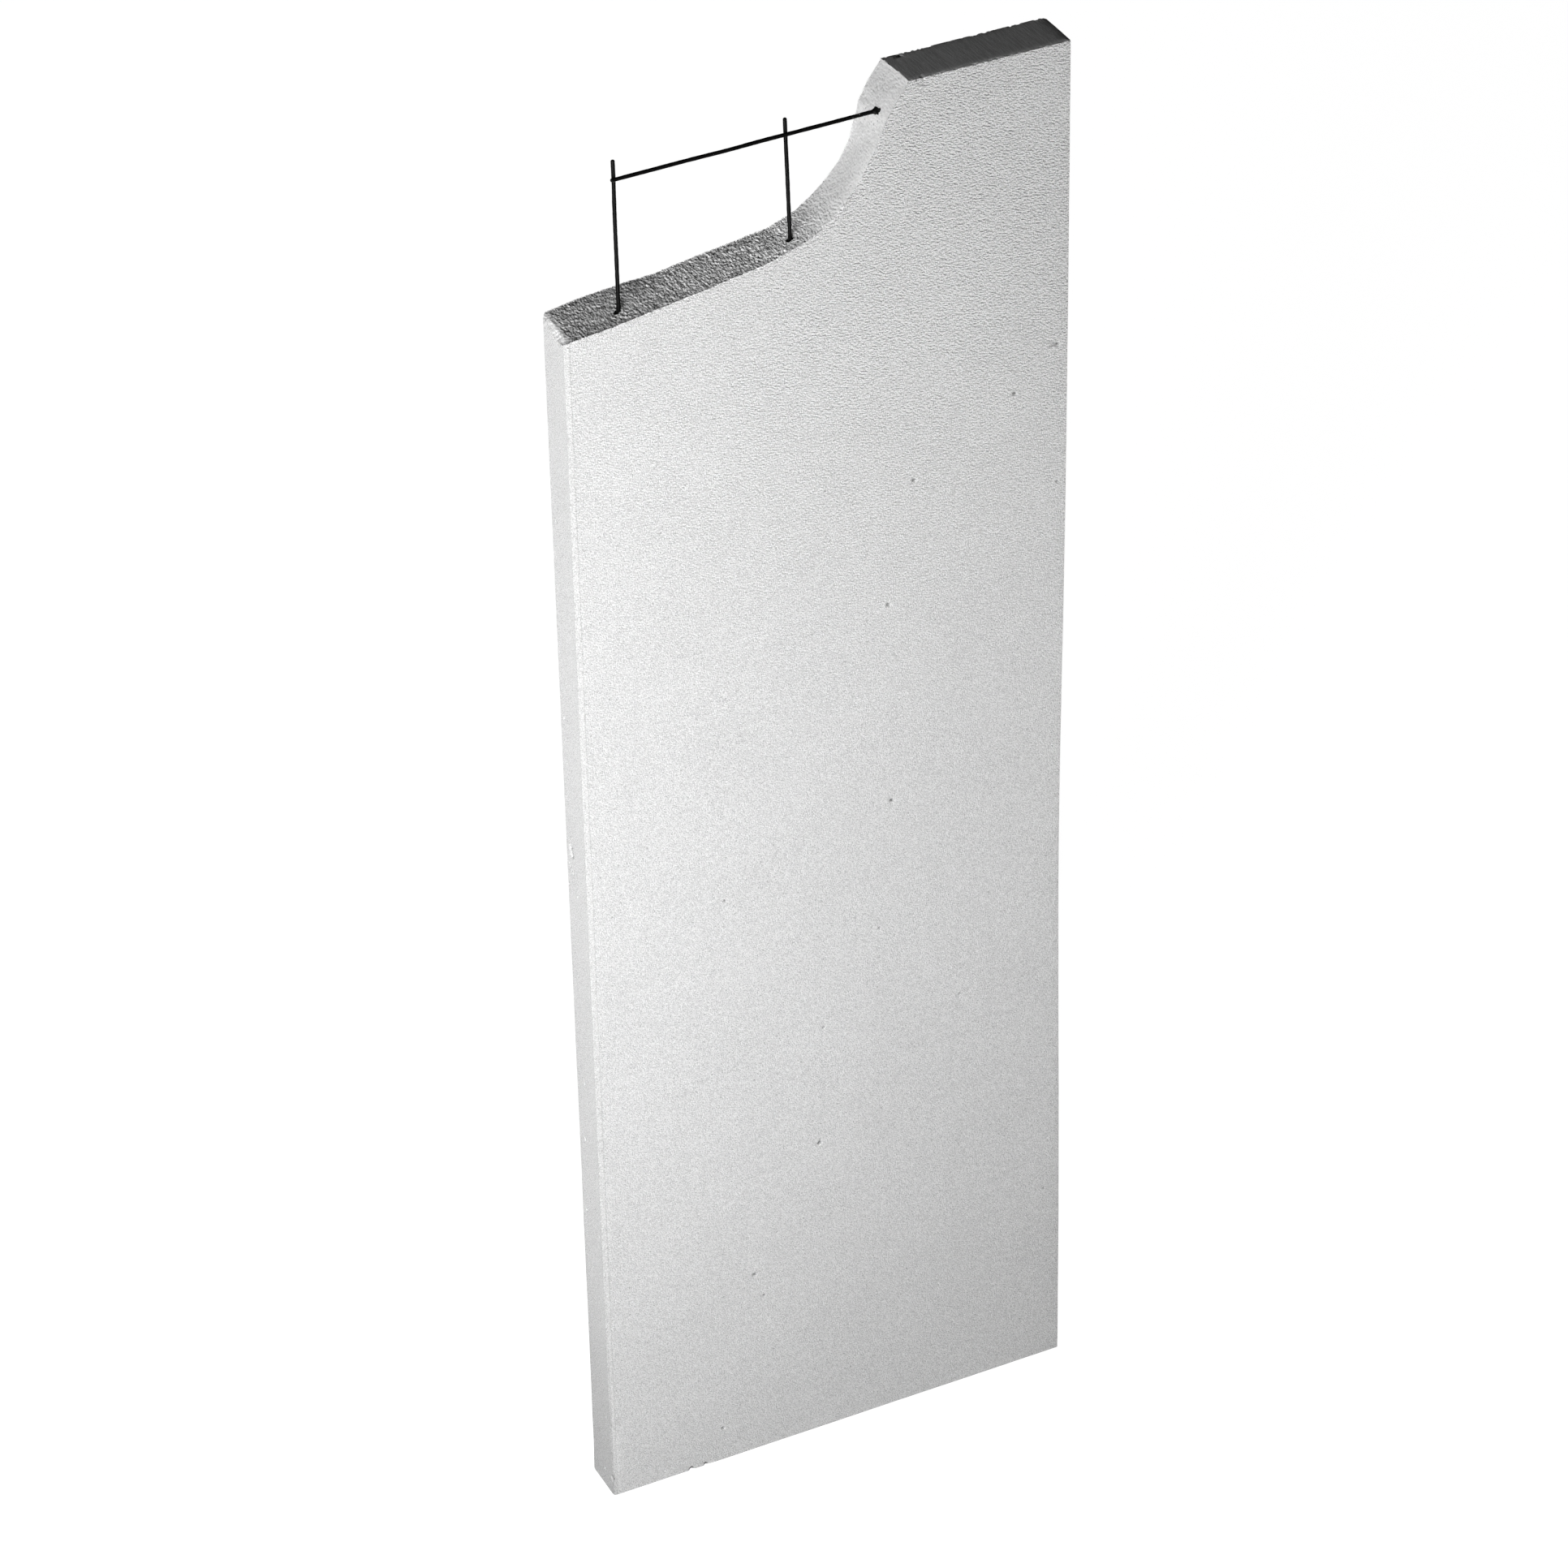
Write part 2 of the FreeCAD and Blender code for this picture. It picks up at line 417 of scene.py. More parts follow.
def carved_cutter():
    """A closed block above the profile, with a fine grid underneath."""
    length = cut_length + 2 * PAST_ENDS
    width = panel_high.y - panel_low.y + 2 * PAST_FACES
    rows, columns = round(length / CARVED_CELL), round(width / CARVED_CELL)
    distances = [length * i / rows - PAST_ENDS for i in range(rows + 1)]
    depths = [panel_low.y - PAST_FACES + width * j / columns for j in range(columns + 1)]
    distances = [-CUTTER_MARGIN] + distances + [cut_length + CUTTER_MARGIN]
    depths = [panel_low.y - CUTTER_MARGIN] + depths + [panel_high.y + CUTTER_MARGIN]
    bm = bmesh.new()
    grid = []
    for number, distance in enumerate(distances):
        point, normal = on_profile(distance)
        fine = 0 < number < len(distances) - 1
        row = [point + Vector((0, y, 0)) + normal * (wander(distance, y) if fine else 0) for y in depths]
        grid.append([bm.verts.new(place) for place in row])
    for near, far in zip(grid, grid[1:]):
        for j in range(len(depths) - 1):
            bm.faces.new((near[j], near[j + 1], far[j + 1], far[j]))
    top = grid[-1][0].co.z + CUTTER_MARGIN
    ends = [(grid[0][0], grid[0][-1]), (grid[-1][0], grid[-1][-1])]
    lids = [[bm.verts.new((vertex.co.x, vertex.co.y, top)) for vertex in pair] for pair in ends]
    bm.faces.new((*reversed(grid[0]), *lids[0]))
    bm.faces.new((*grid[-1], *reversed(lids[1])))
    bm.faces.new((*[row[0] for row in grid], lids[1][0], lids[0][0]))
    bm.faces.new((*[row[-1] for row in reversed(grid)], lids[0][1], lids[1][1]))
    bm.faces.new((lids[0][0], lids[1][0], lids[1][1], lids[0][1]))
    for face in bm.faces:
        face.material_index = CARVED
    bmesh.ops.recalc_face_normals(bm, faces=bm.faces)
    return object_from("corner_cutter", bm)


cutter = carved_cutter()
print("cutter:", len(cutter.data.polygons), "faces")

# %% Take the corner off
FINISHES = ["wire_cut_concrete", "long_edge_concrete", "sawn_end_concrete", "carved_concrete"]
finishes = [bpy.data.materials.new(name) for name in FINISHES]
for piece in (slab, cutter):
    for material in finishes:
        piece.data.materials.append(material)
boolean = slab.modifiers.new("cut_away", "BOOLEAN")
boolean.operation, boolean.solver, boolean.object = "DIFFERENCE", "EXACT", cutter
print("slab without its corner:", settle(slab), "faces")
bpy.data.objects.remove(cutter)

# %% [markdown]
# ## The skin, as Geometry Nodes
#
# What happens to the surface follows rules, so it is a node tree that works on the whole slab at once. The
# tree wears the carved outline round by blurring positions near sharp edges, knocks chips out of it and of
# the top's arrises, roughens the carved face with its grain, and sinks the hollows. Each hollow is a point
# with two numbers, and every vertex asks for its nearest one. Everything moves inwards, so the slab keeps its
# measured size. The tree's sizes are inputs with names.

# %% Hollow points
def points_with_sizes(name, spots):
    """A mesh of loose points that carry a radius and a depth."""
    mesh = bpy.data.meshes.new(name)
    mesh.from_pydata([spot for spot, radius, depth in spots], [], [])
    for label, values in (("radius", [spot[1] for spot in spots]), ("depth", [spot[2] for spot in spots])):
        mesh.attributes.new(label, "FLOAT", "POINT").data.foreach_set("value", values)
    piece = bpy.data.objects.new(name, mesh)
    bpy.context.collection.objects.link(piece)
    return piece


hollow_points = points_with_sizes("hollow_points", hollows)

# %% Skin tree
SKIN_INPUTS = {
    "Hollows": "NodeSocketObject", "Wear": "NodeSocketFloat", "Chip Depth": "NodeSocketFloat",
    "Chip Length": "NodeSocketFloat", "Grain Depth": "NodeSocketFloat", "Grain Size": "NodeSocketFloat",
    "Waviness": "NodeSocketFloat", "Seed": "NodeSocketFloat",
}
skin, sizes = geometry_tree("panel_skin", SKIN_INPUTS)


def value_noise(tree, place, size, seed, detail=1.0, roughness=0.5):
    """Noise about 0, whose lumps are about as large as size, from a 4-D noise that the seed shifts."""
    scale = maths(tree, "DIVIDE", 1.0, size)
    inputs = {"Vector": place, "W": seed, "Scale": scale, "Detail": detail, "Roughness": roughness}
    lumps = add(tree, "ShaderNodeTexNoise", inputs, noise_dimensions="4D")
    return maths(tree, "SUBTRACT", lumps.outputs[0], 0.5)


def on_points(tree, socket):
    """A field that is worked out on points, whatever it comes from."""
    return add(tree, "GeometryNodeFieldOnDomain", {"Value": socket}, domain="POINT", data_type="FLOAT").outputs[0]


def blurred(tree, socket, iterations, kind="FLOAT"):
    """The field, averaged with its neighbours."""
    inputs = {"Value": socket, "Iterations": iterations}
    return add(tree, "GeometryNodeBlurAttribute", inputs, data_type=kind).outputs[0]


def scaled(tree, vector, factor):
    """A vector times a number."""
    return add(tree, "ShaderNodeVectorMath", {0: vector, "Scale": factor}, operation="SCALE").outputs[0]


place = add(skin, "GeometryNodeInputPosition").outputs[0]
outward = add(skin, "GeometryNodeInputNormal").outputs[0]
mesh_in = add(skin, "GeometryNodeTriangulate", {"Mesh": sizes["Geometry"]}).outputs[0]
finish = add(skin, "GeometryNodeInputMaterialIndex").outputs[0]


def has_finish(number):
    """Whether a face has the finish with this number."""
    inputs = {2: finish, 3: number}
    return add(skin, "FunctionNodeCompare", inputs, data_type="INT", operation="EQUAL").outputs[0]


carvedness = on_points(skin, has_finish(CARVED))  # 1 inside the carved face, and less at its rim

# Sharp edges that the wear reaches: the carved outline's. The top's long arrises have a mask of their own.
bend = add(skin, "GeometryNodeInputMeshEdgeAngle").outputs[0]
SHARP_BEND = math.radians(38)
arris = maths(skin, "GREATER_THAN", bend, SHARP_BEND)
sideways, forwards, height = add(skin, "ShaderNodeSeparateXYZ", {0: place}).outputs
near_top = fade(skin, height, panel_high.z - 12 * MM, panel_high.z - 6 * MM)
beside_cut = maths(skin, "GREATER_THAN", blurred(skin, carvedness, 2), 0.02)
worn_part = maths(skin, "MAXIMUM", near_top, beside_cut)
arris_share = maths(skin, "MULTIPLY", on_points(skin, arris), worn_part)
wear = maths(skin, "MINIMUM", maths(skin, "MULTIPLY", blurred(skin, arris_share, 2), 3.0), 1.0)
rounded_place = blurred(skin, place, 3, kind="FLOAT_VECTOR")
to_rounded = add(skin, "ShaderNodeVectorMath", {0: rounded_place, 1: place}, operation="SUBTRACT").outputs[0]
crisp_top = fade(skin, near_top, 0.0, 1.0, 1.0, 0.45)
rounding = maths(skin, "MULTIPLY", maths(skin, "MULTIPLY", wear, crisp_top), sizes["Wear"])
worn = scaled(skin, to_rounded, rounding)
print("skin tree so far:", len(skin.nodes), "nodes")

# %% Chips, grain and hollows
chip_lumps = value_noise(skin, place, sizes["Chip Length"], sizes["Seed"], detail=2.0, roughness=0.6)
off_middle = maths(skin, "ABSOLUTE", forwards)
top_arris = maths(skin, "MULTIPLY", fade(skin, height, panel_high.z - 1.4 * MM, panel_high.z - 0.8 * MM),
                  fade(skin, off_middle, panel_high.y - 1.2 * MM, panel_high.y - 0.6 * MM))
top_arris = maths(skin, "MINIMUM", maths(skin, "MULTIPLY", blurred(skin, top_arris, 1), 2.5), 1.0)
chip_depth = maths(skin, "MULTIPLY", maths(skin, "MAXIMUM", wear, top_arris), sizes["Chip Depth"])
chips = maths(skin, "MULTIPLY", fade(skin, chip_lumps, 0.0, 0.14), chip_depth)

grain_seed = maths(skin, "ADD", sizes["Seed"], 11.0)
coarse_grain = value_noise(skin, place, sizes["Grain Size"], grain_seed, detail=1.5, roughness=0.65)
grain = maths(skin, "MULTIPLY", maths(skin, "SUBTRACT", 0.3, coarse_grain), sizes["Grain Depth"])
rough_stretch = fade(skin, sideways, -0.04, 0.04, 1.0, 0.25)  # the steep stretch was rasped smoother
grain = maths(skin, "MULTIPLY", maths(skin, "MAXIMUM", grain, 0.0), blurred(skin, carvedness, 1))
grain = maths(skin, "MULTIPLY", grain, rough_stretch)

WAVE_LENGTH = 160 * MM
waves = value_noise(skin, place, WAVE_LENGTH, maths(skin, "ADD", sizes["Seed"], 23.0), detail=1.0)
waves = maths(skin, "MULTIPLY", maths(skin, "ADD", waves, 0.5), sizes["Waviness"])

spots = add(skin, "GeometryNodeObjectInfo", {"Object": sizes["Hollows"]}).outputs["Geometry"]
nearest = add(skin, "GeometryNodeSampleNearest", {"Geometry": spots}, domain="POINT").outputs["Index"]


def from_nearest(socket, kind):
    """A value of the nearest hollow."""
    inputs = {"Geometry": spots, "Value": socket, "Index": nearest}
    return add(skin, "GeometryNodeSampleIndex", inputs, data_type=kind, domain="POINT").outputs[0]


def named(tree, name):
    """An attribute of the mesh, by its name."""
    return add(tree, "GeometryNodeInputNamedAttribute", {"Name": name}, data_type="FLOAT").outputs["Attribute"]


spot_place = from_nearest(place, "FLOAT_VECTOR")
spot_radius = from_nearest(named(skin, "radius"), "FLOAT")
spot_depth = from_nearest(named(skin, "depth"), "FLOAT")
gap = add(skin, "ShaderNodeVectorMath", {0: place, 1: spot_place}, operation="DISTANCE").outputs["Value"]
HOLLOW_RAGGEDNESS = 2.6 * MM
ragged = value_noise(skin, place, HOLLOW_RAGGEDNESS, maths(skin, "ADD", sizes["Seed"], 31.0), detail=1.0)
ragged_gap = maths(skin, "MULTIPLY", gap, maths(skin, "ADD", 1.0, maths(skin, "MULTIPLY", ragged, 1.3)))
depth_share = fade(skin, maths(skin, "DIVIDE", ragged_gap, spot_radius), 0.35, 1.0, low=1.0, high=0.0)
sunk = maths(skin, "MULTIPLY", depth_share, spot_depth)
torn = maths(skin, "MULTIPLY", depth_share, maths(skin, "LESS_THAN", nearest, len(wire_feet) - 0.5))

depth = maths(skin, "ADD", maths(skin, "ADD", chips, grain), maths(skin, "ADD", waves, sunk))
inward = scaled(skin, outward, maths(skin, "MULTIPLY", depth, -1.0))
move = add(skin, "ShaderNodeVectorMath", {0: worn, 1: inward}, operation="ADD").outputs[0]
print("skin tree so far:", len(skin.nodes), "nodes")

# %% Shading and finish
def stored(tree, geometry, name, value):
    """Keeps a field on the points, under a name that a material or another node can read."""
    inputs = {"Geometry": geometry, "Name": name, "Value": value}
    return add(tree, "GeometryNodeStoreNamedAttribute", inputs, data_type="FLOAT", domain="POINT").outputs[0]


with_marks = stored(skin, stored(skin, mesh_in, "hollow", depth_share), "torn", torn)
beside_carved = maths(skin, "GREATER_THAN", carvedness, 0.01)
plain_corner = maths(skin, "GREATER_THAN", maths(skin, "SUBTRACT", arris, beside_carved), 0.5)
all_smooth = {"Geometry": with_marks, "Shade Smooth": True}
smooth_faces = add(skin, "GeometryNodeSetShadeSmooth", all_smooth, domain="FACE")
sharp_edges = add(skin, "GeometryNodeSetShadeSmooth",
                  {"Geometry": smooth_faces.outputs[0], "Selection": plain_corner, "Shade Smooth": False},
                  domain="EDGE")
moved = add(skin, "GeometryNodeSetPosition", {"Geometry": sharp_edges.outputs[0], "Offset": move})
result = add(skin, "GeometryNodeRealizeInstances", {"Geometry": moved.outputs[0]}).outputs[0]
for number, material in enumerate(finishes):
    chosen = {"Geometry": result, "Selection": has_finish(number), "Material": material}
    result = add(skin, "GeometryNodeSetMaterial", chosen).outputs[0]
add(skin, "NodeGroupOutput", {"Geometry": result})

skin_modifier = slab.modifiers.new("skin", "NODES")
skin_modifier.node_group = skin
give(skin_modifier, {
    "Hollows": hollow_points, "Wear": 0.9, "Chip Depth": 3.0 * MM, "Chip Length": 4.5 * MM,
    "Grain Depth": 3.4 * MM, "Grain Size": 2.8 * MM, "Waviness": 0.5 * MM, "Seed": 4.0,
})
print("finished body:", settle(slab), "triangles")
bpy.data.objects.remove(hollow_points)

# %% [markdown]
# ## Bare wires
#
# The mat's wires are drawn steel with a dark coating that keeps them from rusting in the damp stone. Where
# the corner is gone, two upright wires and the top cross wire stand bare. A wire is a thin tube along a line,
# which is what Curve to Mesh makes. The tree rounds the cut tips, lets the dipped coating vary in thickness,
# and swells it into a torn collar where the wire comes out of the stone. The stretch inside the stone is
# never seen, so it has few rings.

# %% Wire tree
BAR_DIAMETER, TIP_ROUNDING = 4.5 * MM, 1.6 * MM
WIRE_INPUTS = {
    "Diameter": "NodeSocketFloat", "Tip Rounding": "NodeSocketFloat", "Coating Unevenness": "NodeSocketFloat",
    "Collar At": "NodeSocketFloat", "Collar Length": "NodeSocketFloat", "Collar Size": "NodeSocketFloat",
    "Seed": "NodeSocketFloat", "Material": "NodeSocketMaterial",
}
wire_tree, wire_sizes = geometry_tree("coated_wire", WIRE_INPUTS)
line = add(wire_tree, "GeometryNodeMeshToCurve", {"Mesh": wire_sizes["Geometry"]}).outputs[0]
here = add(wire_tree, "GeometryNodeInputPosition").outputs[0]
along = add(wire_tree, "GeometryNodeSplineParameter").outputs["Length"]
radius = maths(wire_tree, "DIVIDE", wire_sizes["Diameter"], 2.0)

# A rounded tip is a quarter circle: the radius grows as a circle's height does.
tip_share = maths(wire_tree, "MINIMUM", maths(wire_tree, "DIVIDE", along, wire_sizes["Tip Rounding"]), 1.0)
tip_rest = maths(wire_tree, "SUBTRACT", 1.0, tip_share)
tip_square = maths(wire_tree, "POWER", tip_rest, 2.0)
tip_height = maths(wire_tree, "SQRT", maths(wire_tree, "SUBTRACT", 1.0, tip_square))
tip_gap = maths(wire_tree, "SUBTRACT", 1.0, tip_height)
tip_cut = maths(wire_tree, "MULTIPLY", tip_gap, wire_sizes["Tip Rounding"])

uneven = value_noise(wire_tree, here, 9 * MM, wire_sizes["Seed"], detail=2.0)
uneven = maths(wire_tree, "MULTIPLY", uneven, wire_sizes["Coating Unevenness"])
from_collar = maths(wire_tree, "ABSOLUTE", maths(wire_tree, "SUBTRACT", along, wire_sizes["Collar At"]))
collar_share = maths(wire_tree, "DIVIDE", from_collar, wire_sizes["Collar Length"])
collar = fade(wire_tree, collar_share, 0.1, 1.0, 1.0, 0.0)
swollen = maths(wire_tree, "MULTIPLY", collar, wire_sizes["Collar Size"])
wire_radius = maths(wire_tree, "SUBTRACT", maths(wire_tree, "ADD", radius, uneven), tip_cut)
wire_radius = maths(wire_tree, "ADD", wire_radius, maths(wire_tree, "MULTIPLY", swollen, 0.5))

# How far the collar swells is stored on the line, because a tube has no distance along itself.
kept_line = stored(wire_tree, line, "collar", swollen)
ring = add(wire_tree, "GeometryNodeCurvePrimitiveCircle", {"Resolution": 14, "Radius": 1.0}).outputs[0]
tube_inputs = {"Curve": kept_line, "Profile Curve": ring, "Scale": wire_radius, "Fill Caps": True}
tube = add(wire_tree, "GeometryNodeCurveToMesh", tube_inputs).outputs[0]
torn = value_noise(wire_tree, here, 2.2 * MM, maths(wire_tree, "ADD", wire_sizes["Seed"], 5.0), detail=2.0)
torn = maths(wire_tree, "MULTIPLY", maths(wire_tree, "ADD", torn, 0.05), named(wire_tree, "collar"))
wire_normal = add(wire_tree, "GeometryNodeInputNormal").outputs[0]
torn_move = scaled(wire_tree, wire_normal, maths(wire_tree, "MULTIPLY", torn, 3.0))
moved = add(wire_tree, "GeometryNodeSetPosition", {"Geometry": tube, "Offset": torn_move}).outputs[0]
rounded = add(wire_tree, "GeometryNodeSetShadeSmooth", {"Geometry": moved, "Shade Smooth": True}, domain="FACE")
real = add(wire_tree, "GeometryNodeRealizeInstances", {"Geometry": rounded.outputs[0]}).outputs[0]
coated = add(wire_tree, "GeometryNodeSetMaterial", {"Geometry": real, "Material": wire_sizes["Material"]})
add(wire_tree, "NodeGroupOutput", {"Geometry": coated.outputs[0]})
print("wire tree:", len(wire_tree.nodes), "nodes")

# %% The three bare wires
coated_wire = bpy.data.materials.new("coated_wire")
TIP_RINGS, RING_GAP, HIDDEN_GAP = 8, 1.1 * MM, 40 * MM
PAST_FOOT = 12 * MM  # how far the close rings go on into the stone
SHAKE_HEIGHT, SHAKE_LENGTH = 0.5 * MM, 60 * MM
COATING_UNEVENNESS = 0.7 * MM


def stations(bare, whole):
    """Distances from the tip: close together there, even on the bare stretch, and far apart in the stone."""
    close = [TIP_ROUNDING * (i / TIP_RINGS) ** 2 for i in range(TIP_RINGS)]
    rings = int((bare + PAST_FOOT - TIP_ROUNDING) / RING_GAP)
    even = [TIP_ROUNDING + i * RING_GAP for i in range(rings)]
    start = even[-1]
    count = max(int((whole - start) / HIDDEN_GAP), 2)
    return close + even + [start + (whole - start) * i / count for i in range(1, count + 1)]


def bare_wire(name, tip, end, bare, tip_shift, foot_shift, seed, collar_length, collar_size):
    """A wire from its bare tip to its end in the stone; bending shifted its tip and its foot."""
    run = end - tip
    wobble = Vector((seed * 3.1, 0, 0))
    places = []
    for distance in stations(bare, run.length):
        lean = max(0, 1 - distance / bare)
        buried = max(0, (distance - bare) / (run.length - bare))
        bent = tip_shift * lean + foot_shift * (1 - lean) * (1 - smooth(buried))
        spots = [Vector((distance / SHAKE_LENGTH, axis * 9.0, 0)) + wobble for axis in range(3)]
        shake = Vector([noise.noise(spot) for spot in spots]) * SHAKE_HEIGHT * smooth(lean * 3)
        places.append(tip + run.normalized() * distance + bent + shake)
    mesh = bpy.data.meshes.new(name)
    mesh.from_pydata(places, [(i, i + 1) for i in range(len(places) - 1)], [])
    wire = bpy.data.objects.new(name, mesh)
    bpy.context.collection.objects.link(wire)
    modifier = wire.modifiers.new("coated wire", "NODES")
    modifier.node_group = wire_tree
    give(modifier, {
        "Diameter": BAR_DIAMETER, "Tip Rounding": TIP_ROUNDING, "Coating Unevenness": COATING_UNEVENNESS,
        "Collar At": bare, "Collar Length": collar_length, "Collar Size": collar_size, "Seed": float(seed),
        "Material": coated_wire,
    })
    print(name, "has", settle(wire), "faces")
    return wire


def ends_of(node, axis):
    """The two ends of a straight bar's axis line."""
    low, high = (Vector(corner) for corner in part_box(node))
    middle = (low + high) / 2
    near, far = middle.copy(), middle.copy()
    near[axis], far[axis] = low[axis], high[axis]
    return near, far


foot_1, tip_1 = ends_of("long_bar_1", 2)
foot_2, tip_2 = ends_of("long_bar_2", 2)
left_end, right_end = ends_of("cross_bar_1", 0)
wire_1 = bare_wire(
    "bare_wire_1", tip_1, foot_1, bare=178 * MM, seed=1, collar_length=5 * MM, collar_size=0.5 * MM,
    tip_shift=Vector((-0.5, 0, -0.8)) * MM, foot_shift=Vector((0.1, 0, 0)) * MM,
)
wire_2 = bare_wire(
    "bare_wire_2", tip_2, foot_2, bare=147 * MM, seed=2, collar_length=5 * MM, collar_size=0.5 * MM,
    tip_shift=Vector((-1.6, 0, -2.2)) * MM, foot_shift=Vector((1.9, 0, 0)) * MM,
)
cross = bare_wire(
    "bare_cross_wire", left_end, right_end, bare=308.5 * MM, seed=3,
    collar_length=4.5 * MM, collar_size=2.6 * MM,
    tip_shift=Vector((0, 0, -2.1)) * MM, foot_shift=Vector((0, 0, 1.0)) * MM,
)

# %% [markdown]
# ## Stone, as a material
#
# Aerated concrete is nearly white and quite matt. All four finishes of the slab are the same stone, so one
# function builds them, and each finish adds its own marks: the rippled bite of the cutting wire on the two
# big faces, the open pores of the long edges, the fine lines of the saw on the ends, and crumbs on the carved
# face. Every pattern is noise on Object coordinates, in metres, so it keeps its real size. Bump heights are
# in metres as well.
# Much of the stone's light and shade is painted into its colour as well: on the sides of the grain and the
# ripples, along the saw lines, in pores and hollows, on the left chamfer, on the ramp and at the long edges'
# foot.

# %% Noise in metres
def lumps(tree, place, size, detail=2.0, roughness=0.5, distortion=0.0, stretch=(1, 1, 1), offset=0.0):
    """Noise from 0 to 1, with lumps about as large as size, drawn out along the axes by stretch."""
    scale = tuple(1 / (size * factor) for factor in stretch)
    inputs = {"Vector": place, "Scale": scale, "Location": (offset, offset, offset)}
    mapped = add(tree, "ShaderNodeMapping", inputs, vector_type="POINT").outputs[0]
    shape = {"Detail": detail, "Roughness": roughness, "Distortion": distortion}
    return add(tree, "ShaderNodeTexNoise", {"Vector": mapped, "Scale": 1.0, **shape}).outputs[0]


def times(tree, *factors):
    """A product of sockets and numbers."""
    product = factors[0]
    for factor in factors[1:]:
        product = maths(tree, "MULTIPLY", product, factor)
    return product


def relief(tree, place, size, shift, **settings):
    """How steeply a lumpy surface climbs in the direction of shift: about 0, from minus a third to a third. The
    stone's colour follows it, as painted light and shade.
    """
    ahead = add(tree, "ShaderNodeVectorMath", {0: place, 1: shift}, operation="ADD").outputs[0]
    behind = add(tree, "ShaderNodeVectorMath", {0: place, 1: shift}, operation="SUBTRACT").outputs[0]
    both = [lumps(tree, where, size, **settings) for where in (ahead, behind)]
    return maths(tree, "SUBTRACT", *both)


# %% Marks of the cutting wire, the saw and the rasp
def ripple_field(tree, place, across, up):
    """Where the cutting wire bit deeper: high on the panel, and more so to the right; 0 to 1."""
    high = fade(tree, up, 0.75, 1.75)
    side = fade(tree, across, -0.3, 0.1, 0.5, 1.0)
    patches = lumps(tree, place, 70 * MM, detail=2.0)
    return times(tree, high, side, fade(tree, patches, 0.25, 0.6, 0.75, 1.0))


def left_chamfer(tree, across, middle):
    """1 on the chamfer between the long edge and the front face, where shade is painted."""
    outward = maths(tree, "ADD", maths(tree, "MULTIPLY", across, -1.0), maths(tree, "MULTIPLY", middle, -1.0))
    chamfer_plane = panel_high.x + panel_high.y - LEFT_CHAMFER
    return fade(tree, outward, chamfer_plane - 1.8 * MM, chamfer_plane - 0.5 * MM)


# %% Concrete finish
RIPPLE_TILT, RIPPLE_LENGTH = math.radians(-17), 1.8 * MM  # the cutting wire ran down to the right


